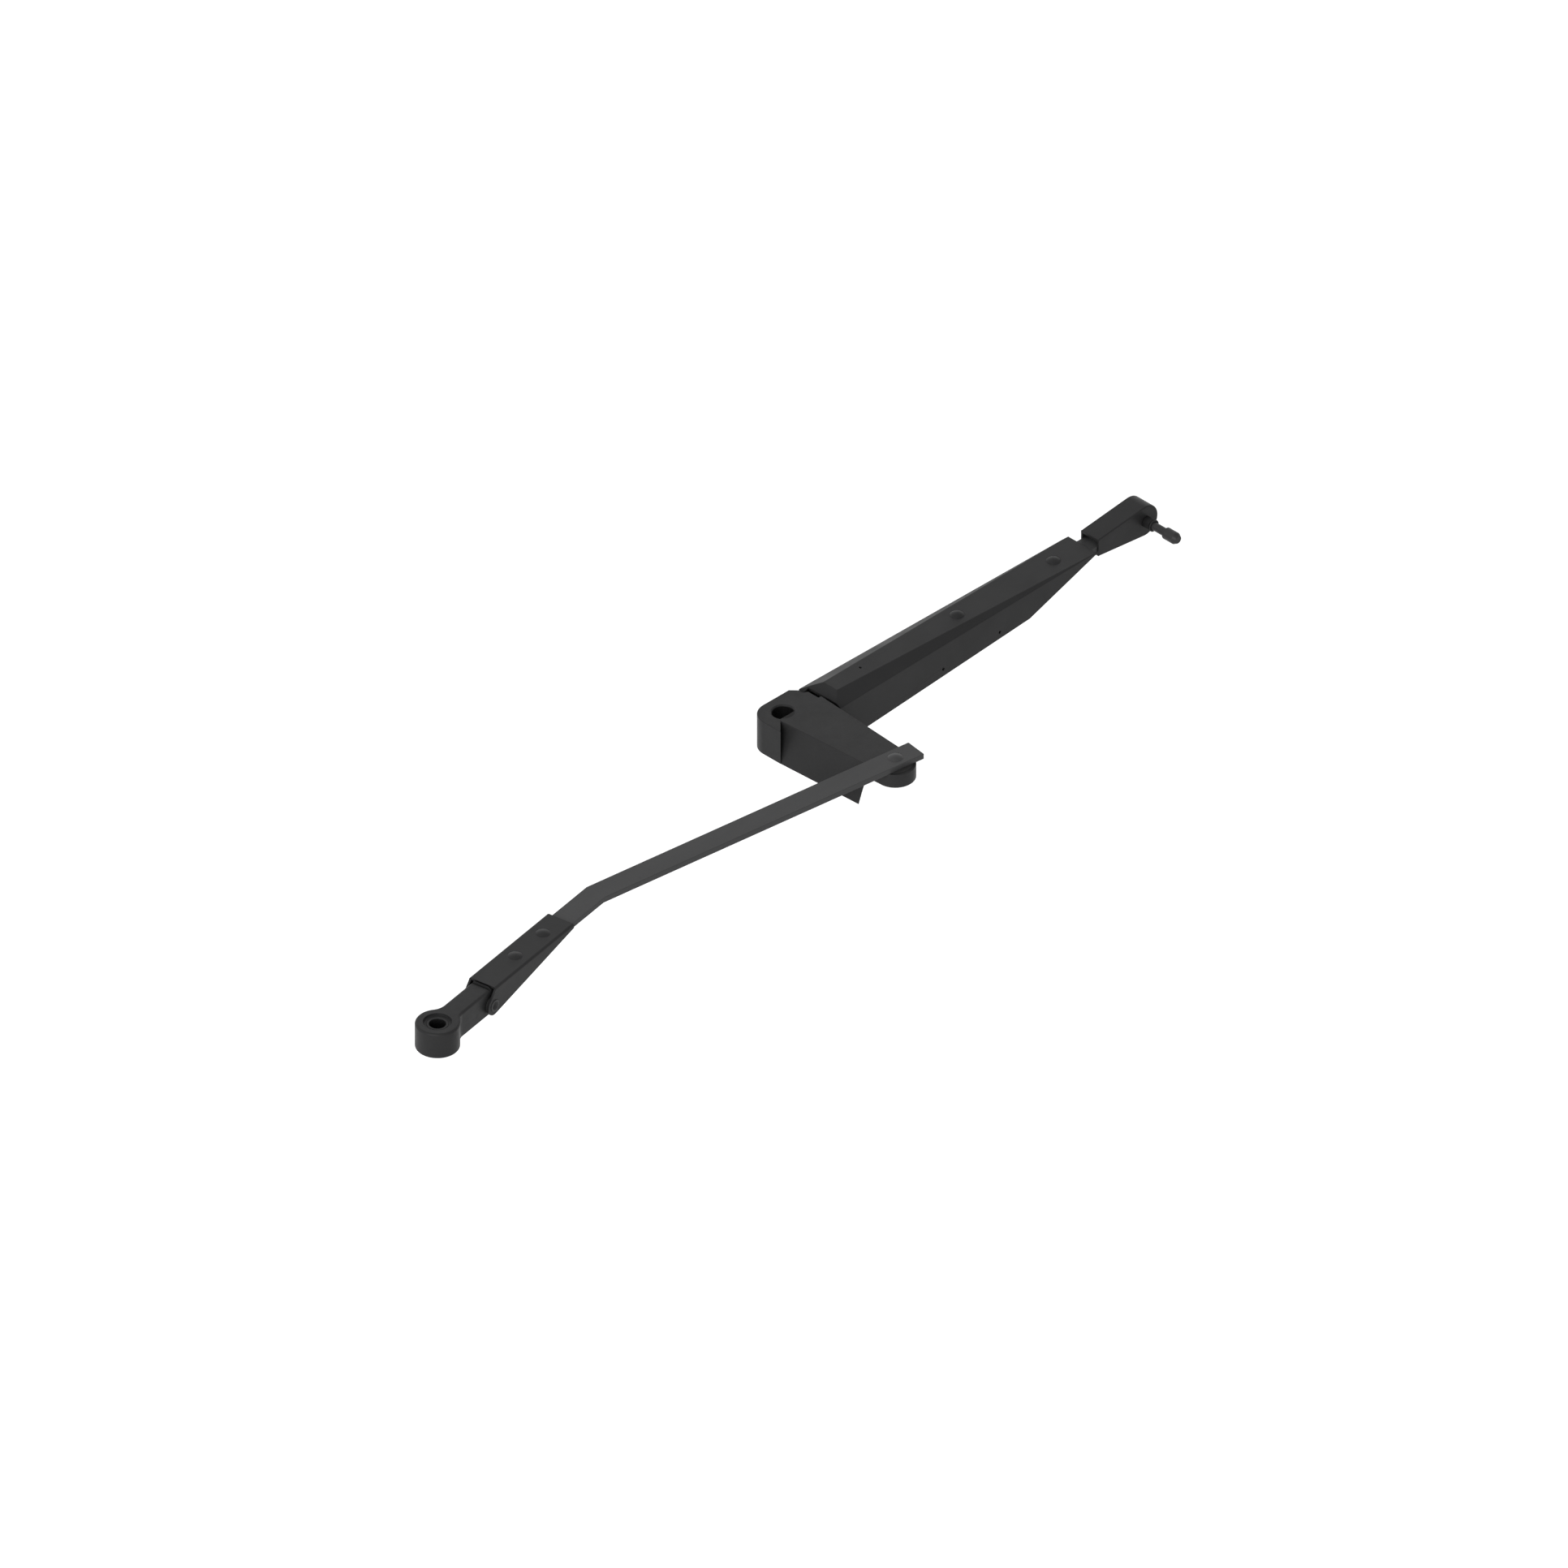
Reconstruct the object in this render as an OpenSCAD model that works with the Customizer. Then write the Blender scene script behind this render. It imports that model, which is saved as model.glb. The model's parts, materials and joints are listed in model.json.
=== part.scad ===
// Articulated opener arm: a drive lever with a D-shaped bore, a sprung channel arm
// that lifts on the lever's lug, and a dog-leg link bar that ends in a hinged eye.
// The origin is on the bore's axis, level with the underside of the drive head.

/* [Drive head] */
// Height of the drive head
head_h = 31; // [30.8:0.1:31.2]
// Radius of the D-shaped bore
bore_r = 9; // [7:0.25:10]
// Distance from the bore's axis to its flat
bore_flat = 5.4; // [4:0.1:6]
// Size of the chamfer round the top of the bore
bore_chamfer = 1.2; // [0.5:0.1:2]
// Thickness of the lever's web
web_t = 12.5; // [12:0.5:14]
// How far the skirts lean out at their foot
skirt_lean = 11.2; // [8:0.1:11.5]
// Thickness of the skirts
skirt_t = 4.5; // [3:0.5:6]

/* [Channel arm] */
// Where the channel ends at its tip, measured from the bore's axis
arm_tip_x = 333.6; // [330:0.2:338]
// Thickness of the pressed sheet
arm_sheet = 2.2; // [1.8:0.1:2.5]
// Width of the channel at its hinged end
arm_near_w = 42; // [41:0.5:43]
// Width of the channel at its tip
arm_tip_w = 31.8; // [28:0.2:34]
// Height of the hood's ridge above the head's underside
ridge_z = 29.8; // [29:0.1:30]
// Width of the flat bar riveted inside the channel
tip_bar_w = 16.5; // [14:0.5:17]
// Thickness of that bar
tip_bar_t = 4.8; // [4.4:0.1:5]

/* [Tip] */
// Radius of the socket's round end
socket_r = 13.7; // [13:0.1:14]
// Width of the socket
socket_w = 19.8; // [19.4:0.2:22]
// Radius of the pin's head
pin_head_r = 5; // [4.5:0.1:5.5]

/* [Link] */
// Width of the link bar
bar_w = 19.8; // [18:0.2:19.8]
// Thickness of the link bar
bar_t = 4.9; // [4:0.1:5]
// Length of the link bar from its pivot to its bend
first_leg = 300; // [280:1:320]
// Direction of the first leg, turned from the lever's x axis
first_dir = 172.9; // [170:0.1:176]
// How much the bar turns at its bend
bend_angle = 16.9; // [12:0.1:20]
// Outer width of the retainer
retainer_w = 26; // [24:0.5:27]

/* [Eye] */
// Outer radius of the eye
eye_r = 18; // [16:0.5:20]
// Bore radius of the eye's bush
eye_bore_r = 6.75; // [5:0.25:8]
// Height of the eye and its shank
eye_h = 23.8; // [22:0.2:24]

/* [Hidden] */
$fn = 64;

eps = 0.01;
running = 0.05;

coat = [0.16, 0.16, 0.165];
coat_light = [0.24, 0.24, 0.245];
steel = [0.45, 0.45, 0.46];
bronze = [0.55, 0.42, 0.22];
polymer = [0.12, 0.12, 0.12];

// Drive head and lever
block_min_x = -21;
block_half_y = 18;
block_corner_r = 16.5;
lever_x = 13;
pivot = [lever_x, -112];
lever_end_r = 16.6;
lever_flare = 0.0627;
skirt_start_y = -7.3;
skirt_end_y = -100.5;
skirt_twist = 0.8;
back_skirt_start_y = -27;
web_z = head_h - web_t;
function lever_half(y) = lever_end_r + lever_flare * (y - pivot[1]);
skirt_top_x = lever_x - lever_half(skirt_start_y);

// Hinge between the lever's lug and the channel arm
hinge_x = 51;
hinge_z = 7;
hinge_pin_r = 4;
hinge_bush_r = 5.2;
hinge_flange_r = 6.6;
lug_nose_r = 7;
lug_half = 16.4;
lug_neck_top = 9;
lug_neck_half = 14.4;
lug_neck_x = 24;
slot_half = 4;
slot_start_x = 36.5;
relief_r = 23.8;
relief_half = 22;
bush_flange_t = 1.5;

// Channel arm
near_x = 38.2;
ridge_x = 52.3;
kink_x = 259;
near_eave_z = 23.4;
tip_eave_z = 26;
near_foot_z = -12.2;
kink_foot_z = 0.5;
tip_foot_z = 23.9;
ridge_half = 7.65;
setback_x = 42.9;
setback_left_y = 14.8;
roof_drop = (ridge_z - tip_eave_z) / (arm_tip_x - ridge_x);
roof_angle = atan(roof_drop);
function arm_half(x) =
    (arm_near_w + (arm_tip_w - arm_near_w) * (x - near_x) / (arm_tip_x - near_x)) / 2;

// Places along the roof, measured from the start of the ridge
rivet_spots = [141.6, 249];
vent_at = [87.5, 1.4];
vent_r = 1;
flange_holes = [[160, 1.5], [224, 4.7]];
flange_hole_r = 1.25;
rivet_r = 3;
rivet_head_r = 6;
rivet_head_h = 2.4;
tip_bar_start = 112;
tip_bar_end = 320;
hook_spot = 119;
hook_hole_r = 2.4;
screw_spots = [299.5, 311.5];

// Spring and its link
spring_angle = 6.1;
spring_pin_r = 2.2;
spring_pin_arm = 8;
half_lift = 22.5;
link_q = 28;
link_hole_r = 2.5;
link_slack = 0.6;
link_half_y = 2;
link_eye_r = 5;
link_end_r = 4.2;
link_hook_hole_r = 2.1;
spring_r = 6.4;
spring_wire_r = 1.1;
spring_start = 36;
spring_end = 112;
spring_hook_r = 3.8;
hook_reach = (ridge_x + hook_spot - hinge_x) / cos(spring_angle);
p_x = hinge_x - spring_pin_arm * cos(spring_angle + half_lift);
p_z = hinge_z - spring_pin_arm * sin(spring_angle + half_lift);
q_x = hinge_x + link_q * cos(spring_angle);
q_z = hinge_z + link_q * sin(spring_angle);
link_len = sqrt(pow(q_x - p_x, 2) + pow(q_z - p_z, 2));
link_angle = atan2(q_z - p_z, q_x - p_x);

// Tip socket and pin
socket_x = 342;
socket_pin_x = 394.4;
socket_z = 22.8;
socket_end_half = 7.9;
tip_shank_r = 3.4;
collar_r = 4.7;
collar_len = 9.6;
collar_lip_r = 5.1;
collar_lip_len = 1.6;
neck_len = 12.3;
pin_head_len = 14.5;
pin_nose = 3.1;
pin_shoulder = 1;
pin_nose_r = 3.2;

// Link
bar_z = head_h + 0.5;
stud_r = 6;
stud_bush_r = 8;
bar_tail = 21;
bend_at = [pivot[0] + first_leg * cos(first_dir), pivot[1] + first_leg * sin(first_dir)];
second_dir = first_dir + bend_angle;
second_leg = 125;
retainer_t = 2;
retainer_start = 47;
retainer_end = 154;
retainer_rivets_at = [71.4, 109.2];
retainer_nose_z = 34.5;
retainer_bend_r = 2;
roof_z = bar_z + bar_t;
ear_at = 155.5;
ear_z = 22.2;
ear_r = 8.4;
eye_pin_r = 3.8;
eye_pin_ring_r = 5.1;
eye_at = 215.6;
eye_top_z = 36.2;
eye_bottom_z = eye_top_z - eye_h;
shank_half = 9.2;
blend_r = 14;
blend_steps = 10;
tongue_r = eye_top_z - ear_z - 0.2;
eye_recess_r = 11.5;
eye_recess_depth = 1.9;
eye_bush_r = 9;

// A cylinder that runs along y through the given x and z
module y_rod(x, z, r, y0, y1) {
    translate([x, y1, z]) rotate([90, 0, 0]) cylinder(r = r, h = y1 - y0);
}

// A low dome on the plane z = 0
module dome(r, h) {
    ball_r = (r * r + h * h) / (2 * h);
    intersection() {
        translate([0, 0, h - ball_r]) sphere(r = ball_r, $fn = 96);
        cylinder(r = r + 1, h = h + 1);
    }
}

// Children are placed on the roof's slope, with z = 0 on its outer face where the ridge starts
module on_roof() {
    translate([ridge_x, 0, ridge_z]) rotate([0, roof_angle, 0]) children();
}

// Children are placed on the link's second leg, with x along it from the bend
module on_second_leg() {
    translate([bend_at[0], bend_at[1], 0]) rotate([0, 0, second_dir]) children();
}

// ---- Drive head ----

module d_bore_profile(r) {
    intersection() {
        circle(r = r);
        translate([-r, -bore_flat]) square([2 * r, bore_flat + r]);
    }
}

// Outline of the block round the bore: one corner is round, and the one by the lever is cut at 45 degrees
module block_plan() {
    centre = [block_min_x + block_corner_r, block_half_y - block_corner_r];
    intersection() {
        translate(centre) circle(r = block_corner_r);
        translate([block_min_x, centre[1]]) square(block_corner_r);
    }
    polygon([
        [block_min_x, centre[1]], [block_min_x, skirt_start_y - (skirt_top_x - block_min_x)],
        [skirt_top_x, skirt_start_y], [-2, -18],
        [lever_x + lever_half(-18), -18], [lever_x + lever_half(-6), -6], [33.3, -6],
        [33.3, 5.5], [29, 8], [29.4, 12.4], [24, block_half_y], [centre[0], block_half_y]
    ]);
}

module lever_plan() {
    translate(pivot) circle(r = lever_end_r);
    polygon([
        [lever_x - lever_half(pivot[1]), pivot[1]], [lever_x + lever_half(pivot[1]), pivot[1]],
        [lever_x + lever_half(-6), -6], [skirt_top_x, skirt_start_y]
    ]);
}

// How far a skirt leans out at y. It leans a little more towards the lever's end.
function lean_at(y) = skirt_lean + skirt_twist * (skirt_start_y - y) / (skirt_start_y - skirt_end_y);

// One leaning skirt under the lever's front edge, from y0 down to its pointed end.
// Its far end is cut back on the diagonal, so that it comes to a sharp edge.
module skirt(y0) {
    top_0 = lever_x - lever_half(y0);
    top_1 = lever_x - lever_half(skirt_end_y);
    lean_0 = lean_at(y0);
    lean_1 = lean_at(skirt_end_y);
    back = skirt_t / (1 - lever_flare);
    cut_y = skirt_end_y + back;
    cut_x = lever_x - lever_half(cut_y) + skirt_t;
    points = [
        [top_0, y0, head_h], [top_0 - lean_0, y0, 0],
        [top_0 + skirt_t - lean_0, y0, 0], [top_0 + skirt_t, y0, head_h],
        [top_1, skirt_end_y, head_h], [top_1 - lean_1, skirt_end_y, 0],
        [cut_x - lean_1, cut_y, 0], [cut_x, cut_y, head_h]
    ];
    faces = [
        [0, 1, 2, 3], [4, 7, 6, 5], [0, 4, 5], [0, 5, 1], [3, 2, 6], [3, 6, 7], [1, 5, 6, 2], [0, 3, 7, 4]
    ];
    polyhedron(points = points, faces = faces, convexity = 2);
}

module drive_head() {
    color(coat)
    difference() {
        union() {
            difference() {
                union() {
                    linear_extrude(head_h) block_plan();
                    translate([0, 0, web_z]) linear_extrude(web_t) lever_plan();
                    intersection() {
                        skirt(skirt_start_y);
                        translate([block_min_x, -200, -1]) cube([100, 200, head_h + 1]);
                    }
                    translate([2 * lever_x, 0, 0]) mirror([1, 0, 0]) skirt(back_skirt_start_y);
                }
                y_rod(hinge_x, hinge_z, relief_r, -relief_half, relief_half);
            }
            translate([lug_neck_x, -lug_neck_half, 0])
                cube([hinge_x - lug_neck_x, 2 * lug_neck_half, lug_neck_top]);
            y_rod(hinge_x, hinge_z, lug_nose_r, -lug_half, lug_half);
        }
        translate([0, 0, -1]) linear_extrude(head_h + 2) d_bore_profile(bore_r);
        intersection() {
            translate([0, 0, head_h - bore_chamfer])
                cylinder(r1 = bore_r, r2 = bore_r + bore_chamfer + 1, h = bore_chamfer + 1, $fn = 96);
            translate([-20, -bore_flat, 0]) cube([40, 40, 60]);
        }
        translate([pivot[0], pivot[1], 0]) cylinder(r = stud_bush_r, h = head_h + 1);
        translate([slot_start_x, -slot_half, -5]) cube([40, 2 * slot_half, 40]);
        y_rod(hinge_x, hinge_z, hinge_bush_r, -30, 30);
        y_rod(p_x, p_z, spring_pin_r, -13, 13);
        y_rod(0, head_h / 2, 4, 5, 30);
    }
}

// Socket set screw that clamps the drive shaft against the bore's flat
module bore_set_screw() {
    screw_r = 4;
    screw_len = 8.6;
    mouth_y = block_half_y - 0.4;
    color(steel)
    difference() {
        y_rod(0, head_h / 2, screw_r, mouth_y - screw_len, mouth_y);
        translate([0, mouth_y + eps, head_h / 2]) rotate([90, 0, 0]) cylinder(r = 2.3, h = 4, $fn = 6);
    }
}

// Bush pressed into the lever's end for the pivot stud
module pivot_bush() {
    color(bronze)
    translate([pivot[0], pivot[1], web_z]) difference() {
        cylinder(r = stud_bush_r, h = web_t);
        translate([0, 0, -1]) cylinder(r = stud_r + running, h = web_t + 2);
    }
}

module pivot_washer() {
    color(polymer)
    translate([pivot[0], pivot[1], head_h]) difference() {
        cylinder(r = 14, h = bar_z - head_h - running);
        translate([0, 0, -1]) cylinder(r = stud_r + running, h = 3);
    }
}

// Pin across the lug's slot that holds the spring's link
module spring_pin() {
    color(steel) y_rod(p_x, p_z, spring_pin_r, -13, 13);
}

module arm_hinge_bushes() {
    color(bronze)
    for (side = [0, 1]) mirror([0, side, 0]) difference() {
        union() {
            y_rod(hinge_x, hinge_z, hinge_bush_r, slot_half + 0.2, lug_half);
            y_rod(hinge_x, hinge_z, hinge_flange_r, lug_half, lug_half + bush_flange_t);
        }
        y_rod(hinge_x, hinge_z, hinge_pin_r + running, 0, 30);
    }
}

// ---- Channel arm ----

// Closed hipped solid. A positive inset draws its walls in, drops its foot and lets its ends run on,
// so that it hollows out the outer solid and leaves a sheet of that thickness.
module hood_solid(inset) {
    hollow = inset > 0 ? 1 : 0;
    start_x = near_x - hollow;
    end_x = arm_tip_x + 4 * hollow;
    foot_drop = 20 * hollow;
    tip_top = tip_eave_z - inset - roof_drop * (end_x - arm_tip_x);
    near_top = near_eave_z - 1.1 * inset - 0.45 * hollow;
    near_half = arm_half(start_x) - inset;
    kink_half = arm_half(kink_x) - inset;
    tip_half = arm_half(end_x) - inset;
    top_half = ridge_half - 0.23 * inset;
    points = [
        [start_x, -near_half, near_foot_z - foot_drop], [start_x, near_half, near_foot_z - foot_drop],
        [start_x, near_half, near_top], [start_x, -near_half, near_top],
        [ridge_x, -top_half, ridge_z - inset], [ridge_x, top_half, ridge_z - inset],
        [kink_x, -kink_half, kink_foot_z - foot_drop], [kink_x, kink_half, kink_foot_z - foot_drop],
        [end_x, -tip_half, tip_foot_z - foot_drop], [end_x, tip_half, tip_foot_z - foot_drop],
        [end_x, tip_half, tip_top], [end_x, -tip_half, tip_top]
    ];
    faces = [
        [1, 2, 3, 0], [0, 6, 7, 1], [6, 8, 9, 7], [8, 11, 10, 9], [4, 5, 10, 11],
        [3, 2, 5, 4], [2, 10, 5], [3, 4, 11], [1, 7, 9, 10, 2], [0, 3, 11, 8, 6]
    ];
    polyhedron(points = points, faces = faces, convexity = 4);
}

module arm_channel() {
    color(coat)
    difference() {
        hood_solid(0);
        hood_solid(arm_sheet);
        translate([near_x - 1, -30, -40]) cube([setback_x - near_x + 1, 30 + setback_left_y, 90]);
        y_rod(hinge_x, hinge_z, hinge_pin_r, -40, 40);
        on_roof() for (x = rivet_spots) translate([x, 0, -5]) cylinder(r = rivet_r, h = 10);
        translate([vent_at[0], vent_at[1], 20]) cylinder(r = vent_r, h = 20);
        for (hole = flange_holes) y_rod(hole[0], hole[1], flange_hole_r, -40, 0);
    }
}

// Two short pins, one in each flange, that leave the middle of the lug free for the spring's link
module arm_hinge_pins() {
    inner = slot_half + 0.4;
    outer = arm_half(hinge_x) + 0.1;
    color(steel) {
        y_rod(hinge_x, hinge_z, hinge_pin_r, inner, outer);
        y_rod(hinge_x, hinge_z, hinge_pin_r, -outer, -inner);
    }
}

module arm_bar() {
    color(coat_light)
    on_roof() difference() {
        translate([tip_bar_start, -tip_bar_w / 2, -arm_sheet - tip_bar_t])
            cube([tip_bar_end - tip_bar_start, tip_bar_w, tip_bar_t]);
        for (x = rivet_spots) translate([x, 0, -10]) cylinder(r = rivet_r, h = 10);
        for (x = screw_spots) translate([x, 0, -10]) cylinder(r = 2.5, h = 10);
        translate([hook_spot, 0, -10]) cylinder(r = hook_hole_r, h = 10);
    }
}

module arm_rivets() {
    color(coat)
    on_roof() for (x = rivet_spots) translate([x, 0, 0]) {
        under = -arm_sheet - tip_bar_t;
        dome(rivet_head_r, rivet_head_h);
        translate([0, 0, under]) cylinder(r = rivet_r, h = -under + eps);
        translate([0, 0, under]) mirror([0, 0, 1]) dome(rivet_head_r, rivet_head_h);
    }
}

// Tension spring as a tube that stands for its coil. At the link its end wire makes a ring through
// the link's hole, and at the bar it turns up into the bar's hole.
module arm_spring() {
    coil_r = spring_r - spring_wire_r;
    color(steel) {
        translate([hinge_x, 0, hinge_z]) rotate([0, 90 - spring_angle, 0]) {
            translate([0, 0, spring_start]) difference() {
                cylinder(r = spring_r, h = spring_end - spring_start);
                translate([0, 0, -1]) cylinder(r = spring_r - 2 * spring_wire_r, h = 200);
            }
            for (z = [spring_start + spring_wire_r, spring_end - spring_wire_r])
                y_rod(0, z, spring_wire_r, -coil_r, coil_r, $fn = 24);
            translate([0, 0, link_q + 2 * spring_hook_r])
                cylinder(r = spring_wire_r, h = spring_start - link_q - 2 * spring_hook_r + 1, $fn = 24);
            translate([0, 0, link_q + spring_hook_r]) rotate([0, 90, 0]) rotate_extrude($fn = 48)
                translate([spring_hook_r, 0]) circle(r = spring_wire_r, $fn = 24);
            translate([0, 0, spring_end - spring_wire_r])
                cylinder(r = spring_wire_r, h = hook_reach - spring_end + spring_wire_r, $fn = 24);
            translate([0, 0, hook_reach]) sphere(r = spring_wire_r, $fn = 24);
        }
        on_roof() translate([hook_spot, 0, -arm_sheet - tip_bar_t - 1.4])
            cylinder(r = spring_wire_r, h = tip_bar_t + 1, $fn = 24);
    }
}

// Flat link between the lug's pin and the spring, with a slightly long hole at the pin
module spring_link() {
    color(steel)
    translate([p_x, 0, p_z]) rotate([90, -link_angle, 0]) translate([0, 0, -link_half_y])
        linear_extrude(2 * link_half_y) difference() {
            union() {
                circle(r = link_eye_r);
                translate([0, -2.6]) square([link_len, 5.2]);
                translate([link_len, 0]) circle(r = link_end_r);
            }
            circle(r = link_hole_r);
            translate([-link_slack, 0]) circle(r = link_hole_r);
            translate([link_len, 0]) circle(r = link_hook_hole_r);
        }
}

// ---- Tip ----

module socket_profile() {
    run = socket_pin_x - socket_x;
    lean = asin((socket_r - socket_end_half) / run);
    touch = [socket_pin_x - socket_r * sin(lean), socket_r * cos(lean)];
    translate([socket_pin_x, socket_z]) circle(r = socket_r);
    polygon([
        [socket_x, socket_z - socket_end_half], [touch[0], socket_z - touch[1]],
        [socket_pin_x, socket_z], [touch[0], socket_z + touch[1]], [socket_x, socket_z + socket_end_half]
    ]);
}

module tip_socket() {
    color(coat)
    difference() {
        translate([0, socket_w / 2, 0]) rotate([90, 0, 0]) linear_extrude(socket_w) socket_profile();
        on_roof() translate([280, -tip_bar_w / 2 - 0.1, -arm_sheet - tip_bar_t - 0.1])
            cube([tip_bar_end - 280 + 0.4, tip_bar_w + 0.2, tip_bar_t + 4.6]);
        on_roof() for (x = screw_spots) translate([x, 0, -30]) cylinder(r = 2.6, h = 24);
        y_rod(socket_pin_x, socket_z, tip_shank_r, -20, 20);
    }
}

// Screws that hold the bar down in the socket, put in from below
module socket_screws() {
    color(steel)
    on_roof() for (x = screw_spots) translate([x, 0, -arm_sheet - tip_bar_t - 8]) difference() {
        union() {
            translate([0, 0, 2]) cylinder(r = 2.5, h = 6 + tip_bar_t - 0.5);
            translate([0, 0, -1]) cylinder(r = 2.5, h = 3.2);
        }
        translate([0, 0, -1 - eps]) cylinder(r = 1.5, h = 2.5, $fn = 6);
    }
}

// Collar on the pin's shank, with a wider lip at its outer end
module tip_collar() {
    lip_y = -socket_w / 2 - collar_len;
    color(coat)
    difference() {
        union() {
            y_rod(socket_pin_x, socket_z, collar_r, lip_y, -socket_w / 2);
            y_rod(socket_pin_x, socket_z, collar_lip_r, lip_y, lip_y + collar_lip_len);
        }
        y_rod(socket_pin_x, socket_z, tip_shank_r, -60, 60);
    }
}

// Side pin: its shank is riveted in the socket, and its thicker head has a tapered nose
module tip_pin() {
    neck_end = -socket_w / 2 - collar_len - neck_len;
    head_end = neck_end - pin_head_len;
    color(coat) {
        y_rod(socket_pin_x, socket_z, tip_shank_r, neck_end - 1, socket_w / 2);
        y_rod(socket_pin_x, socket_z, pin_head_r, head_end + pin_nose, neck_end - pin_shoulder);
        translate([socket_pin_x, neck_end - pin_shoulder, socket_z]) rotate([-90, 0, 0])
            cylinder(r1 = pin_head_r, r2 = tip_shank_r, h = pin_shoulder);
        translate([socket_pin_x, head_end + pin_nose, socket_z]) rotate([90, 0, 0])
            cylinder(r1 = pin_head_r, r2 = pin_nose_r, h = pin_nose);
    }
}

// ---- Link ----

module link_bar() {
    half = bar_w / 2;
    mitre = half / cos(bend_angle / 2);
    mid_dir = first_dir + bend_angle / 2 + 90;
    across_1 = [cos(first_dir + 90), sin(first_dir + 90)];
    across_2 = [cos(second_dir + 90), sin(second_dir + 90)];
    across_m = [cos(mid_dir), sin(mid_dir)];
    tail = pivot - bar_tail * [cos(first_dir), sin(first_dir)];
    nose = bend_at + second_leg * [cos(second_dir), sin(second_dir)];
    color(coat_light)
    difference() {
        translate([0, 0, bar_z]) linear_extrude(bar_t) polygon([
            tail + half * across_1, bend_at + mitre * across_m, nose + half * across_2,
            nose - half * across_2, bend_at - mitre * across_m, tail - half * across_1
        ]);
        translate([pivot[0], pivot[1], bar_z - 1]) cylinder(r = stud_r, h = bar_t + 2);
        on_second_leg() for (x = retainer_rivets_at)
            translate([x, 0, bar_z - 1]) cylinder(r = rivet_r, h = bar_t + 2);
    }
}

// Pivot stud riveted into the bar, with a groove for the snap ring under the lever
module pivot_stud() {
    below = 4;
    color(coat_light)
    translate([pivot[0], pivot[1], 0]) difference() {
        union() {
            translate([0, 0, roof_z]) dome(6.3, 2);
            translate([0, 0, web_z - below]) cylinder(r = stud_r, h = roof_z - web_z + below + eps);
        }
        translate([0, 0, web_z - 2.1]) difference() {
            cylinder(r = stud_r + 2, h = 1.6);
            translate([0, 0, -1]) cylinder(r = stud_r - 0.8, h = 4);
        }
    }
}

module pivot_snap_ring() {
    color(steel)
    translate([pivot[0], pivot[1], web_z - 2]) linear_extrude(1.4) difference() {
        circle(r = stud_r + 2.4);
        circle(r = stud_r - 0.7);
        translate([0, -2.4]) square([20, 4.8]);
    }
}

module retainer_side() {
    run = ear_at - retainer_start;
    fall = retainer_nose_z - ear_z;
    reach = sqrt(run * run + fall * fall);
    tilt = atan2(fall, run) + asin(ear_r / reach);
    touch = [ear_at - ear_r * sin(tilt), ear_z - ear_r * cos(tilt)];
    polygon([
        [retainer_start, roof_z + retainer_t], [retainer_start, retainer_nose_z], touch,
        [ear_at, ear_z], [ear_at + ear_r * 0.94, ear_z + 2.8], [retainer_end, roof_z],
        [retainer_end, roof_z + retainer_t]
    ]);
    translate([ear_at, ear_z]) circle(r = ear_r);
}

// Cross-section of the retainer: a channel open below, with its roof's corners bent round
module retainer_section() {
    half = retainer_w / 2;
    inner = half - retainer_t;
    top = roof_z + retainer_t;
    difference() {
        union() {
            translate([-half, -10]) square([retainer_w, top + 10 - retainer_bend_r]);
            translate([retainer_bend_r - half, 0]) square([retainer_w - 2 * retainer_bend_r, top]);
            for (side = [-1, 1]) translate([side * (half - retainer_bend_r), top - retainer_bend_r])
                circle(r = retainer_bend_r);
        }
        translate([-inner, -20]) square([2 * inner, roof_z + 20]);
    }
}

module link_retainer() {
    half = retainer_w / 2;
    color(coat)
    on_second_leg() difference() {
        intersection() {
            translate([0, half, 0]) rotate([90, 0, 0]) linear_extrude(retainer_w) retainer_side();
            translate([retainer_start - 1, 0, 0]) rotate([90, 0, 90])
                linear_extrude(200) retainer_section();
        }
        for (x = retainer_rivets_at) translate([x, 0, bar_z]) cylinder(r = rivet_r, h = 20);
        y_rod(ear_at, ear_z, eye_pin_ring_r, -30, 30);
    }
}

module retainer_rivets() {
    color(coat)
    on_second_leg() for (x = retainer_rivets_at) translate([x, 0, 0]) {
        translate([0, 0, roof_z + retainer_t]) dome(rivet_head_r, 1.6);
        translate([0, 0, bar_z]) cylinder(r = rivet_r, h = bar_t + retainer_t + eps);
        translate([0, 0, bar_z]) mirror([0, 0, 1]) dome(rivet_head_r, rivet_head_h);
    }
}

// Hollow-ended hinge pin with a wide step in each ear
module eye_hinge_pin() {
    half = retainer_w / 2;
    color(coat)
    on_second_leg() difference() {
        union() {
            y_rod(ear_at, ear_z, eye_pin_r, -half, half);
            for (s = [0, 1]) mirror([0, s, 0])
                y_rod(ear_at, ear_z, eye_pin_ring_r, half - retainer_t, half + 0.6);
        }
        for (s = [0, 1]) mirror([0, s, 0]) translate([ear_at, half + 0.6 + eps, ear_z]) rotate([90, 0, 0])
            cylinder(r1 = eye_pin_r, r2 = 2.2, h = 1.8);
    }
}

module eye_hinge_washers() {
    inner = retainer_w / 2 - retainer_t;
    color(polymer)
    on_second_leg() for (s = [0, 1]) mirror([0, s, 0]) difference() {
        y_rod(ear_at, ear_z, 7.2, shank_half + 0.05, inner - 0.05);
        y_rod(ear_at, ear_z, eye_pin_r + running, 0, 30);
    }
}

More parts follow.
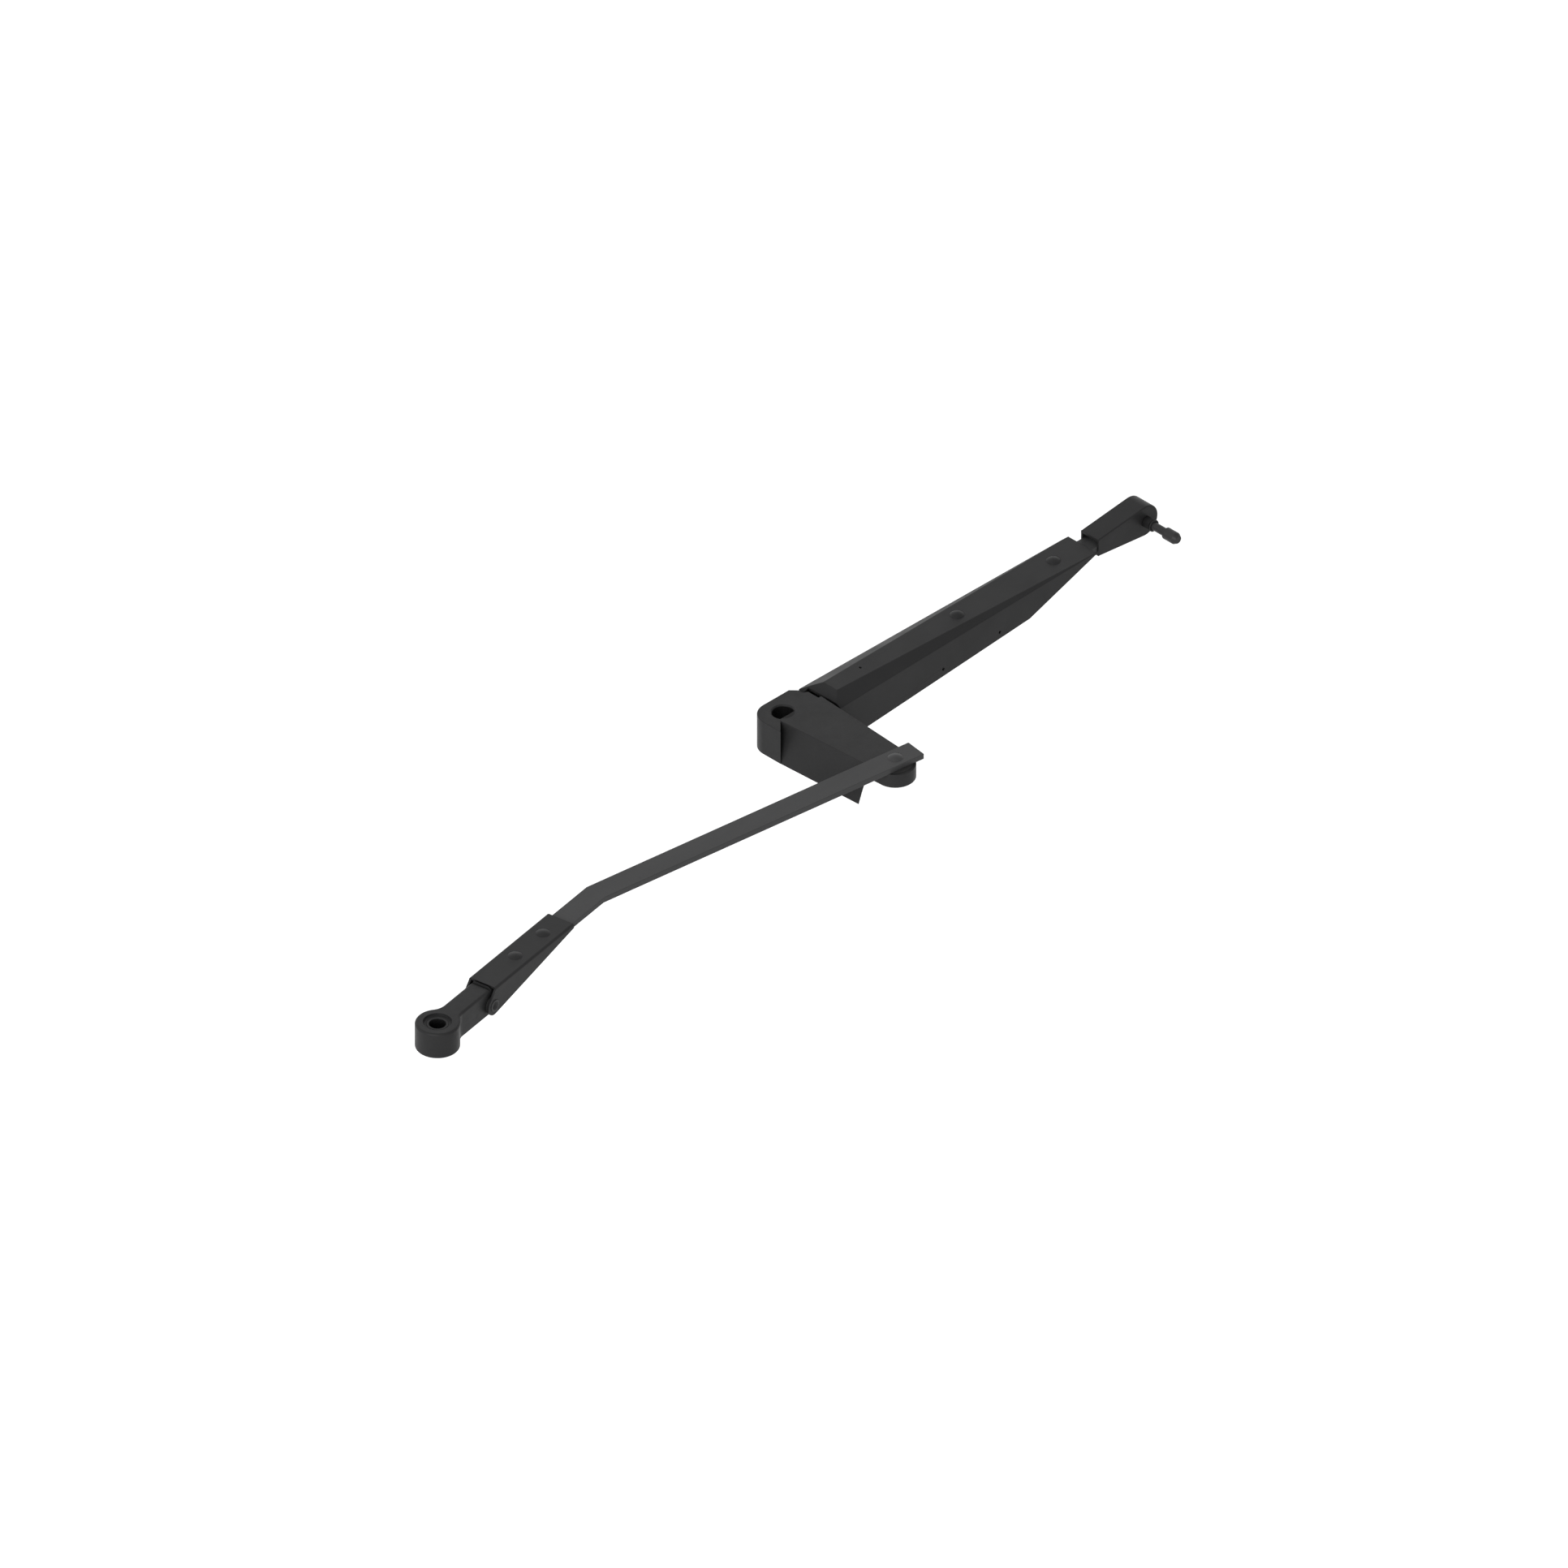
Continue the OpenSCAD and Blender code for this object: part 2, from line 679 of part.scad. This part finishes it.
// Outline of the shank, with a hollow fillet on each side where it meets the eye
module shank_plan() {
    fillet_y = shank_half + blend_r;
    fillet_x = eye_at - sqrt(pow(eye_r + blend_r, 2) - pow(fillet_y, 2));
    last_angle = atan2(-fillet_y, eye_at - fillet_x);
    arc = [for (i = [0 : blend_steps]) let (a = -90 + (last_angle + 90) * i / blend_steps)
        [fillet_x + blend_r * cos(a), fillet_y + blend_r * sin(a)]];
    far_arc = [for (i = [blend_steps : -1 : 0]) [arc[i][0], -arc[i][1]]];
    polygon(concat(
        [[ear_at - 20, -shank_half], [ear_at - 20, shank_half]], arc, [[eye_at, 0]], far_arc
    ));
}

module eye_head() {
    color(coat)
    on_second_leg() difference() {
        union() {
            translate([eye_at, 0, eye_bottom_z]) cylinder(r = eye_r, h = eye_h, $fn = 96);
            intersection() {
                translate([0, 0, eye_bottom_z]) linear_extrude(eye_h) shank_plan();
                union() {
                    y_rod(ear_at, ear_z, tongue_r, -40, 40);
                    translate([ear_at, -40, 0]) cube([120, 80, 60]);
                }
            }
        }
        y_rod(ear_at, ear_z, hinge_bush_r, -30, 30);
        translate([eye_at, 0, 0]) cylinder(r = eye_bush_r, h = 60);
        translate([eye_at, 0, eye_top_z - eye_recess_depth]) cylinder(r = eye_recess_r, h = 10);
        translate([eye_at, 0, eye_bottom_z - 10]) cylinder(r = eye_recess_r, h = 10 + eye_recess_depth);
    }
}

module eye_hinge_bush() {
    color(bronze)
    on_second_leg() difference() {
        y_rod(ear_at, ear_z, hinge_bush_r, -shank_half, shank_half);
        y_rod(ear_at, ear_z, eye_pin_r + running, -30, 30);
    }
}

module eye_bush() {
    color(bronze)
    on_second_leg() translate([eye_at, 0, eye_bottom_z + eye_recess_depth]) difference() {
        cylinder(r = eye_bush_r, h = eye_h - 2 * eye_recess_depth);
        translate([0, 0, -1]) cylinder(r = eye_bore_r, h = 40);
    }
}

drive_head();
bore_set_screw();
pivot_bush();
pivot_washer();
spring_pin();
arm_hinge_bushes();
arm_channel();
arm_hinge_pins();
arm_bar();
arm_rivets();
arm_spring();
spring_link();
tip_socket();
socket_screws();
tip_collar();
tip_pin();
link_bar();
pivot_stud();
pivot_snap_ring();
link_retainer();
retainer_rivets();
eye_hinge_pin();
eye_hinge_washers();
eye_head();
eye_hinge_bush();
eye_bush();
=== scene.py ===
"""Looks of the articulated opener arm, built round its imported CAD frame.
Lengths are in metres, but names that end in _mm and wound_spring's own values are in millimetres."""

import json
import math

import bmesh
import bpy
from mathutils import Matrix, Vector


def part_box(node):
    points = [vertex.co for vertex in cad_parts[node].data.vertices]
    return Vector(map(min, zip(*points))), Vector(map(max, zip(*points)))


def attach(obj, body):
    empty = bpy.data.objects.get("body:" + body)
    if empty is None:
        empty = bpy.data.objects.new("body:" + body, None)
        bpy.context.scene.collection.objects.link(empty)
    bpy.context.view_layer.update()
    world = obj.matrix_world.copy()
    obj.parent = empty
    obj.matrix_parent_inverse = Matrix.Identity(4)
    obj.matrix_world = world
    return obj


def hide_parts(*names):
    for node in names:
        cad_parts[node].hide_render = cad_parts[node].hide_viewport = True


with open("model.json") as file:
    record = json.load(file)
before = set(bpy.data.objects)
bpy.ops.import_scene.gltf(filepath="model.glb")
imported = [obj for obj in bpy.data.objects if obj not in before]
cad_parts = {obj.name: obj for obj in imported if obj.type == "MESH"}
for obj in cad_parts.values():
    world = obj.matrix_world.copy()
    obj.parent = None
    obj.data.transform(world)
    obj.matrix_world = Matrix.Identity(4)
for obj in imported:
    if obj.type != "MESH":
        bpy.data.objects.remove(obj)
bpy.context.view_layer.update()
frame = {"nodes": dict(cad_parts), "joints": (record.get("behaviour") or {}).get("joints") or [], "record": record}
MM = 0.001
joints = {joint["name"]: joint for joint in frame["joints"]}


# ---- Materials ----

NOISE_SPREAD = (0.3, 0.7)      # nearly all of a noise's values lie between these
FLECKS_PER_GRAIN = 0.55        # how often a fleck comes, for each bump of the grain
FLECK_REACH = 0.16             # how far a fleck reaches, in cells of its pattern
GLOSSIER, DULLER = 0.05, 0.06  # how far the roughness goes below and above its middle value
PAINTED_BORE_SHADE_TONE = 0.25               # how much of its tone a bore keeps where shade is painted into it
PAINTED_BORE_SHADE_FADE = 0.0003             # the width over which the bore's painted shade ends


def new_node(tree, kind, **values):
    """A shader node, with its sockets and plain settings filled in by name."""
    made = tree.nodes.new(kind)
    for name, value in values.items():
        if name in made.inputs:
            made.inputs[name].default_value = value
        else:
            setattr(made, name, value)
    return made


def ramp(tree, source, low, high, low_value, high_value):
    """Maps source from low..high to low_value..high_value."""
    made = new_node(tree, "ShaderNodeMapRange")
    for name, value in (("From Min", low), ("From Max", high), ("To Min", low_value), ("To Max", high_value)):
        made.inputs[name].default_value = value
    tree.links.new(source, made.inputs["Value"])
    return made.outputs["Result"]


def times(tree, a, b):
    """The product of two outputs."""
    made = new_node(tree, "ShaderNodeMath", operation="MULTIPLY")
    tree.links.new(a, made.inputs[0])
    tree.links.new(b, made.inputs[1])
    return made.outputs[0]


def scaled_sum(tree, source, factor, added=None):
    """source times factor, plus another output if there is one."""
    made = new_node(tree, "ShaderNodeMath", operation="MULTIPLY" if added is None else "MULTIPLY_ADD")
    tree.links.new(source, made.inputs[0])
    made.inputs[1].default_value = factor
    if added is not None:
        tree.links.new(added, made.inputs[2])
    return made.outputs[0]


def distance_from_z_axis(tree, place):
    """How far a place is from the z axis."""
    flat = new_node(tree, "ShaderNodeVectorMath", operation="MULTIPLY")
    flat.inputs[1].default_value = (1, 1, 0)
    tree.links.new(place, flat.inputs[0])
    length = new_node(tree, "ShaderNodeVectorMath", operation="LENGTH")
    tree.links.new(flat.outputs["Vector"], length.inputs[0])
    return length.outputs["Value"]


def finish_material(name, colour, rough, metallic=0.0, mottle=0.1, stretch=(1, 1, 1), grain=700,
                    grain_depth=0.03, relief=60, relief_depth=0.05, flecks=0.15, shade=0.006,
                    painted_shade_range=(0.0, 0.4, 0.35), gleam=0.11, painted_bore_shade_r=0.0):
    """A coat or metal with mottled colour, uneven gloss, fine grain, a slow relief and small pale flecks.
    stretch draws the pattern out along an axis. Crevices get painted shade from an ambient occlusion
    node: shade is how far it looks for walls, and the range after it holds how open a spot is where the
    painted shade is darkest, how open where it ends, and the darkest tone; the specular level is dimmed
    there too. gleam is the specular level. The last argument is the radius of a bore on the z axis whose
    inside is painted dark as shade."""
    made = bpy.data.materials.new(name)
    made.use_nodes = True
    tree = made.node_tree
    tree.nodes.clear()
    out = new_node(tree, "ShaderNodeOutputMaterial")
    shader = new_node(tree, "ShaderNodeBsdfPrincipled", Metallic=metallic, IOR=1.45)
    tree.links.new(shader.outputs["BSDF"], out.inputs["Surface"])
    place = new_node(tree, "ShaderNodeTexCoord").outputs["Object"]
    mapping = new_node(tree, "ShaderNodeMapping", Scale=stretch)
    tree.links.new(place, mapping.inputs["Vector"])
    vector = mapping.outputs["Vector"]

    def noise(scale, detail, roughness):
        made_noise = new_node(tree, "ShaderNodeTexNoise", Scale=scale, Detail=detail, Roughness=roughness)
        tree.links.new(vector, made_noise.inputs["Vector"])
        return made_noise.outputs["Fac"]

    slow = noise(scale=28, detail=3, roughness=0.55)
    mid = noise(scale=relief, detail=4, roughness=0.6)
    fine = noise(scale=grain, detail=2, roughness=0.5)
    speck = new_node(tree, "ShaderNodeTexVoronoi", Scale=grain * FLECKS_PER_GRAIN)
    tree.links.new(vector, speck.inputs["Vector"])
    # Ambient occlusion, used below to paint shade into crevices and dim their specular level.
    crevice_painted_shade = new_node(tree, "ShaderNodeAmbientOcclusion", Distance=shade, samples=6).outputs["AO"]
    closed, opened, darkest = painted_shade_range

    tone = times(tree, ramp(tree, slow, *NOISE_SPREAD, 1 - mottle, 1 + mottle),
                 ramp(tree, fine, *NOISE_SPREAD, 1 - mottle / 2, 1 + mottle / 2))
    tone = times(tree, tone, ramp(tree, speck.outputs["Distance"], 0.0, FLECK_REACH, 1 + flecks, 1.0))
    # Painted shade: the tone darkens where the ambient occlusion finds close walls.
    tone = times(tree, tone, ramp(tree, crevice_painted_shade, closed, opened, darkest, 1.0))
    # Painted shade: the inside of the bore on the z axis is darkened as shade.
    if painted_bore_shade_r:
        radius = distance_from_z_axis(tree, place)
        tone = times(tree, tone, ramp(tree, radius, painted_bore_shade_r, painted_bore_shade_r + PAINTED_BORE_SHADE_FADE, PAINTED_BORE_SHADE_TONE, 1.0))
    tint = new_node(tree, "ShaderNodeVectorMath", operation="SCALE")
    tint.inputs[0].default_value = colour
    tree.links.new(tone, tint.inputs["Scale"])
    tree.links.new(tint.outputs["Vector"], shader.inputs["Base Color"])

    gloss = ramp(tree, mid, *NOISE_SPREAD, rough - GLOSSIER, rough + DULLER)
    tree.links.new(gloss, shader.inputs["Roughness"])
    # Painted shade on the specular level: reflections are dimmed in crevices.
    level = ramp(tree, crevice_painted_shade, closed, opened, darkest * gleam, gleam)
    tree.links.new(level, shader.inputs["Specular IOR Level"])

    height = scaled_sum(tree, mid, relief_depth, added=scaled_sum(tree, fine, grain_depth))
    bump = new_node(tree, "ShaderNodeBump", Strength=0.6, Distance=0.001)
    tree.links.new(height, bump.inputs["Height"])
    tree.links.new(bump.outputs["Normal"], shader.inputs["Normal"])
    return made


charcoal = (0.0150, 0.0150, 0.0153)
grey = (0.0335, 0.0335, 0.0340)
pin_black = (0.024, 0.024, 0.0244)
bush_black = (0.0175, 0.0175, 0.0178)
bright_steel = (0.33, 0.33, 0.34)
wire_steel = (0.16, 0.16, 0.165)
bronze = (0.36, 0.22, 0.095)
washer_black = (0.02, 0.02, 0.02)
# Painted shade: the settings below darken the arm channel, the socket's mouth and both bores as shade.
MATERIALS = {
    "head_coat": finish_material("cast_coat", charcoal, 0.42, mottle=0.09, grain=650, grain_depth=0.05,
                                 relief=140, relief_depth=0.06, painted_bore_shade_r=0.0091),
    "arm_coat": finish_material("sheet_coat", charcoal, 0.42, mottle=0.07, grain=900, grain_depth=0.03,
                                relief=45, relief_depth=0.05, shade=0.02, painted_shade_range=(0.3, 0.8, 0.1)),
    "bar_coat": finish_material("bar_coat", grey, 0.38, mottle=0.08, stretch=(0.35, 1, 1), grain=1100,
                                grain_depth=0.03, relief=70, relief_depth=0.04, painted_shade_range=(0.2, 0.6, 0.12)),
    "pin_coat": finish_material("turned_coat", pin_black, 0.34, mottle=0.08, stretch=(0.3, 3, 0.3),
                                grain=900, grain_depth=0.04, relief=160, relief_depth=0.03),
    "eye_bush_coat": finish_material("bush_coat", bush_black, 0.4, mottle=0.1, stretch=(0.4, 0.4, 3),
                                     grain=800, grain_depth=0.04, shade=0.015, painted_shade_range=(0.4, 0.9, 0.1)),
    "steel": finish_material("plain_steel", bright_steel, 0.34, metallic=1.0, mottle=0.1,
                             stretch=(1, 0.25, 1), grain=1200, grain_depth=0.03),
    "spring_steel": finish_material("spring_wire", wire_steel, 0.38, metallic=1.0, mottle=0.14,
                                    grain=900, grain_depth=0.04),
    "bronze": finish_material("bearing_bronze", bronze, 0.44, metallic=1.0, mottle=0.16,
                              grain=1100, grain_depth=0.06, flecks=0.3),
    "polymer": finish_material("washer_polymer", washer_black, 0.55, mottle=0.08, grain=800),
}
SLOT_OF = {part["node"]: part["material_slot"] for part in frame["record"]["subparts"]}
BODY_OF = {name: body for body, names in frame["record"]["behaviour"]["bodies"].items() for name in names}


# ---- Pieces with worked edges ----

WELD = 2e-6        # points closer than this are one
LEVEL_ANGLE = 0.6  # faces that meet at less than this angle, in degrees, become one face
FACET_ANGLE = 11   # up to this angle an edge is only between two facets of a round face
SHARP_ANGLE = 24   # from this angle on an edge is rounded


def new_piece(name, mesh, node):
    """A piece in the scene that stands for one CAD node and moves with its body."""
    piece = bpy.data.objects.new(name, mesh)
    bpy.context.scene.collection.objects.link(piece)
    mesh.materials.clear()
    mesh.materials.append(MATERIALS[SLOT_OF[node]])
    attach(piece, BODY_OF[node])
    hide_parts(node)
    return piece


def weigh_edges(mesh, edge_mm, rule):
    """Cleans the mesh and gives every sharp edge its share of edge_mm as a bevel weight."""
    shape = bmesh.new()
    shape.from_mesh(mesh)
    bmesh.ops.remove_doubles(shape, verts=shape.verts, dist=WELD)
    level = math.radians(LEVEL_ANGLE)
    bmesh.ops.dissolve_limit(shape, angle_limit=level, verts=shape.verts, edges=shape.edges)
    weight = shape.edges.layers.float.new("bevel_weight_edge")
    for edge in shape.edges:
        angle = math.degrees(edge.calc_face_angle(0.0))
        edge.smooth = not FACET_ANGLE < angle < SHARP_ANGLE
        if angle >= SHARP_ANGLE:
            middle = (edge.verts[0].co + edge.verts[1].co) / 2
            wanted_mm = rule(middle, edge) if rule else edge_mm
            edge[weight] = min(1.0, wanted_mm / edge_mm)
    for face in shape.faces:
        face.smooth = True
    shape.to_mesh(mesh)
    shape.free()
    if "custom_normal" in mesh.attributes:
        mesh.attributes.remove(mesh.attributes["custom_normal"])


def worked(node, edge_mm, rule=None):
    """The node's own shape with its sharp edges rounded by edge_mm, or by as many millimetres, up to
    edge_mm, as rule(middle, edge) gives. Edges too shallow to round, but steeper than the facets of a
    round face, stay crisp."""
    mesh = frame["nodes"][node].data.copy()
    weigh_edges(mesh, edge_mm, rule)
    piece = new_piece(node + "_worked", mesh, node)
    bevel = piece.modifiers.new("edges", "BEVEL")
    bevel.limit_method = "WEIGHT"
    bevel.width = edge_mm * MM
    bevel.segments = 4 if edge_mm > 1 else 3
    bevel.use_clamp_overlap = False
    bevel.miter_outer = "MITER_SHARP"
    even = piece.modifiers.new("shading", "WEIGHTED_NORMAL")
    even.mode = "FACE_AREA"
    even.weight = 60
    even.keep_sharp = True
    bpy.context.view_layer.update()
    whole = bpy.data.meshes.new_from_object(piece.evaluated_get(bpy.context.evaluated_depsgraph_get()))
    piece.modifiers.clear()
    piece.data = whole


def flat_distance(point, centre):
    """The distance between two places, seen along the z axis."""
    return math.hypot(point.x - centre[0], point.y - centre[1])


bush_low, bush_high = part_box("eye_bush")
eye_centre = (bush_low + bush_high) / 2
eye_low, eye_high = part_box("eye_head")
socket_low, socket_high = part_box("tip_socket")
pin_low, pin_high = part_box("tip_pin")
pin_centre = (pin_low + pin_high) / 2


def eye_edges(middle, edge):
    """The forging is well rounded outside, and crisp where it is machined round the bore and the pin."""
    machined_r, shank_end_r, rim = 0.014, 0.0118, 0.003
    if flat_distance(middle, eye_centre) < machined_r:
        return 0.35
    near_pin = (middle - Vector(joints["eye_tilt"]["pos_m"])).length < shank_end_r
    if near_pin and eye_low.z + rim < middle.z < eye_high.z - rim:
        return 0.25
    return 2.0


def socket_edges(middle, edge):
    """The socket's long edges are rounded, and its mouth and drilled holes are left crisper."""
    skin, mouth_depth, pin_hole_r, same = 0.0004, 0.0006, 0.004, 1e-5
    outside = abs(abs(middle.y) - socket_high.y) < skin
    mouth = middle.x < socket_low.x + mouth_depth
    along = abs(edge.verts[0].co.y - edge.verts[1].co.y) < same
    hole = math.hypot(middle.x - pin_centre.x, middle.z - pin_centre.z) < pin_hole_r
    return 1.0 if outside and along and not mouth and not hole else 0.3


def head_edges(middle, edge):
    """The lever's casting is rounded a little above, and crisper at its bores, hinge and lower edges."""
    drive_bore_r, stud_bore_r, hinge_from_x, skirts_below_z = 0.0115, 0.0095, 0.0262, 0.018
    bored = (flat_distance(middle, (0, 0)) < drive_bore_r
             or flat_distance(middle, joints["link_pivot"]["pos_m"]) < stud_bore_r)
    return 0.2 if bored or middle.x > hinge_from_x or middle.z < skirts_below_z else 0.5


EDGES_MM = {
    "drive_head": 0.5, "arm_channel": 0.5, "tip_socket": 1.0, "link_bar": 0.4, "arm_bar": 0.4,
    "link_retainer": 0.2, "eye_head": 2.0, "eye_bush": 0.4, "tip_collar": 0.45, "tip_pin": 0.25,
    "eye_hinge_pin": 0.2, "pivot_stud": 0.12, "arm_rivets": 0.12, "retainer_rivets": 0.12,
    "spring_link": 0.4, "bore_set_screw": 0.25, "socket_screws": 0.2, "arm_hinge_pins": 0.4,
    "spring_pin": 0.3, "arm_hinge_bushes": 0.15, "pivot_bush": 0.3, "pivot_washer": 0.12,
    "pivot_snap_ring": 0.15, "eye_hinge_washers": 0.15, "eye_hinge_bush": 0.3,
}
EDGE_RULES = {"drive_head": head_edges, "tip_socket": socket_edges, "eye_head": eye_edges}
for node, edge_mm in EDGES_MM.items():
    worked(node, edge_mm, EDGE_RULES.get(node))


# ---- The spring, wound from wire ----

def swept(name, path, radius, sides=10):
    """A closed round tube of that radius along the path's points."""
    tangents = []
    for i in range(len(path)):
        ahead, behind = path[min(i + 1, len(path) - 1)], path[max(i - 1, 0)]
        tangents.append((ahead - behind).normalized())
    across = tangents[0].orthogonal().normalized()
    shape = bmesh.new()
    rings = []
    for point, tangent in zip(path, tangents):
        across = (across - tangent * across.dot(tangent)).normalized()
        other = tangent.cross(across)
        rings.append([
            shape.verts.new(point + radius * (math.cos(a) * across + math.sin(a) * other))
            for a in (2 * math.pi * k / sides for k in range(sides))
        ])
    for one, two in zip(rings, rings[1:]):
        for k in range(sides):
            shape.faces.new((one[k], one[(k + 1) % sides], two[(k + 1) % sides], two[k]))
    shape.faces.new(list(reversed(rings[0])))
    shape.faces.new(rings[-1])
    bmesh.ops.recalc_face_normals(shape, faces=shape.faces)
    for face in shape.faces:
        face.smooth = len(face.verts) == 4
    mesh = bpy.data.meshes.new(name)
    shape.to_mesh(mesh)
    shape.free()
    return mesh


def smooth_path(points, steps):
    """Points on a smooth curve through the given ones, with that many steps between two of them."""
    path = []
    for i in range(len(points) - 1):
        a, b = points[i], points[i + 1]
        before, after = points[max(i - 1, 0)], points[min(i + 2, len(points) - 1)]
        for k in range(steps):
            t = k / steps
            path.append(0.5 * (2 * a + (b - before) * t + (2 * before - 5 * a + 4 * b - after) * t * t
                               + (3 * a - before - 3 * b + after) * t ** 3))
    path.append(points[-1])
    return path


def wound_spring():
    """A tension spring with a ring at the link's end, and an end at the bar that turns up into its hole.
    at(d, s, u) is a place d along the spring from the arm's hinge, s to its side and u above its axis."""
    wire_r, coil_r, ring_r = 1.1, 5.3, 3.8
    turns, turn_steps, start_angle, last_turn_cut = 32, 20, math.radians(30), 0.17
    coil_from, coil_to = 37.1, 110.9
    bar_hole_at, bar_slope, bend, stem = 120.98, 0.0135, 1.6, 5.6
    ring_angles = range(24, 352, 8)

    hinge = Vector(joints["arm_lift"]["pos_m"]) / MM
    link_end = Vector(joints["spring_link_turn"]["pos_m"]) / MM
    along = (link_end - hinge).normalized()
    side = Vector((0, 1, 0))
    above = along.cross(side)
    up = Vector((bar_slope, 0, 1)).normalized()
    ring_at = (link_end - hinge).length + ring_r

    def at(d, s, u):
        return (hinge + d * along + s * side + u * above) * MM

    ring = [at(ring_at + ring_r * math.cos(a), ring_r * math.sin(a), 0)
            for a in map(math.radians, ring_angles)]
    lead_in = [at(35.9, 1.9, 0.5), at(36.4, 3.9, 1.5)]
    wound = 2 * math.pi * (turns - last_turn_cut)
    steps = turns * turn_steps
    angles = [start_angle + wound * k / steps for k in range(steps + 1)]
    helix = [at(coil_from + (coil_to - coil_from) * (a - start_angle) / wound,
                coil_r * math.cos(a), coil_r * math.sin(a)) for a in angles]
    elbow = at(bar_hole_at, 0, 0)
    tail = [at(112.2, 2.6, 0.2), at(113.6, 0.4, 0), at(116, 0, 0), at(bar_hole_at - bend, 0, 0),
            elbow + (0.35 * up - 0.35 * along) * MM, elbow + bend * MM * up, elbow + stem * MM * up]
    path = (ring[:-1] + smooth_path([ring[-1]] + lead_in + [helix[0]], steps=4)[:-1] + helix[:-1]
            + smooth_path([helix[-1]] + tail, steps=5))
    return swept("spring_coil", path, wire_r * MM)


new_piece("arm_spring_coil", wound_spring(), "arm_spring")


# ---- Stage, light and camera ----

def plane(name, size, height):
    """A level square round the origin."""
    mesh = bpy.data.meshes.new(name)
    half = size / 2
    corners = [(-half, -half, height), (half, -half, height), (half, half, height), (-half, half, height)]
    mesh.from_pydata(corners, [], [(0, 1, 2, 3)])
    made = bpy.data.objects.new(name, mesh)
    bpy.context.scene.collection.objects.link(made)
    return made


floor = plane("floor", size=14, height=-0.24)
floor_finish = bpy.data.materials.new("pale_floor")
floor_finish.use_nodes = True
floor_tree = floor_finish.node_tree
floor_shader = floor_tree.nodes["Principled BSDF"]
floor_noise = new_node(floor_tree, "ShaderNodeTexNoise", Scale=3.0, Detail=4.0)
floor_shade = ramp(floor_tree, floor_noise.outputs["Fac"], *NOISE_SPREAD, low_value=0.90, high_value=0.93)
floor_tree.links.new(floor_shade, floor_shader.inputs["Base Color"])
floor_shader.inputs["Roughness"].default_value = 0.9
floor_shader.inputs["Specular IOR Level"].default_value = 0.1
floor.data.materials.append(floor_finish)

# The sky is brighter low down, and brighter towards +Y than towards -Y.
world = bpy.data.worlds.new("studio")
bpy.context.scene.world = world
world.use_nodes = True
sky = world.node_tree
direction = new_node(sky, "ShaderNodeTexCoord")
split = new_node(sky, "ShaderNodeSeparateXYZ")
sky.links.new(direction.outputs["Generated"], split.inputs["Vector"])
by_height = ramp(sky, split.outputs["Z"], low=0.2, high=0.8, low_value=1.22, high_value=0.82)
by_side = ramp(sky, split.outputs["Y"], low=-0.8, high=0.6, low_value=0.7, high_value=1.3)
backdrop = sky.nodes["Background"]
backdrop.inputs["Color"].default_value = (1, 1, 1, 1)
sky.links.new(times(sky, by_height, by_side), backdrop.inputs["Strength"])

object_middle = Vector((-0.07, -0.07, 0))


def soft_light(name, place, size, power):
    """A square soft light aimed at the object's middle."""
    data = bpy.data.lights.new(name, "AREA")
    data.size = size
    data.energy = power
    lamp = bpy.data.objects.new(name, data)
    bpy.context.scene.collection.objects.link(lamp)
    lamp.location = place
    lamp.rotation_mode = "QUATERNION"
    lamp.rotation_quaternion = (object_middle - Vector(place)).to_track_quat("-Z", "Y")


soft_light("key", place=(-5.4, -2.2, 3.1), size=3.8, power=350)
soft_light("back", place=(1.1, 2.0, 1.0), size=1.6, power=2)

camera_target = Vector((-0.0693, -0.0702, 0.031))
camera_distance = 3
looking = Vector((1, 1, -1)).normalized()
camera_data = bpy.data.cameras.new("camera")
camera_data.type = "ORTHO"
camera_data.ortho_scale = 1.2365
camera_data.clip_end = 30
camera = bpy.data.objects.new("camera", camera_data)
bpy.context.scene.collection.objects.link(camera)
camera.location = camera_target - camera_distance * looking
camera.rotation_mode = "QUATERNION"
camera.rotation_quaternion = looking.to_track_quat("-Z", "Y")
bpy.context.scene.camera = camera
bpy.context.scene.view_settings.view_transform = "Standard"
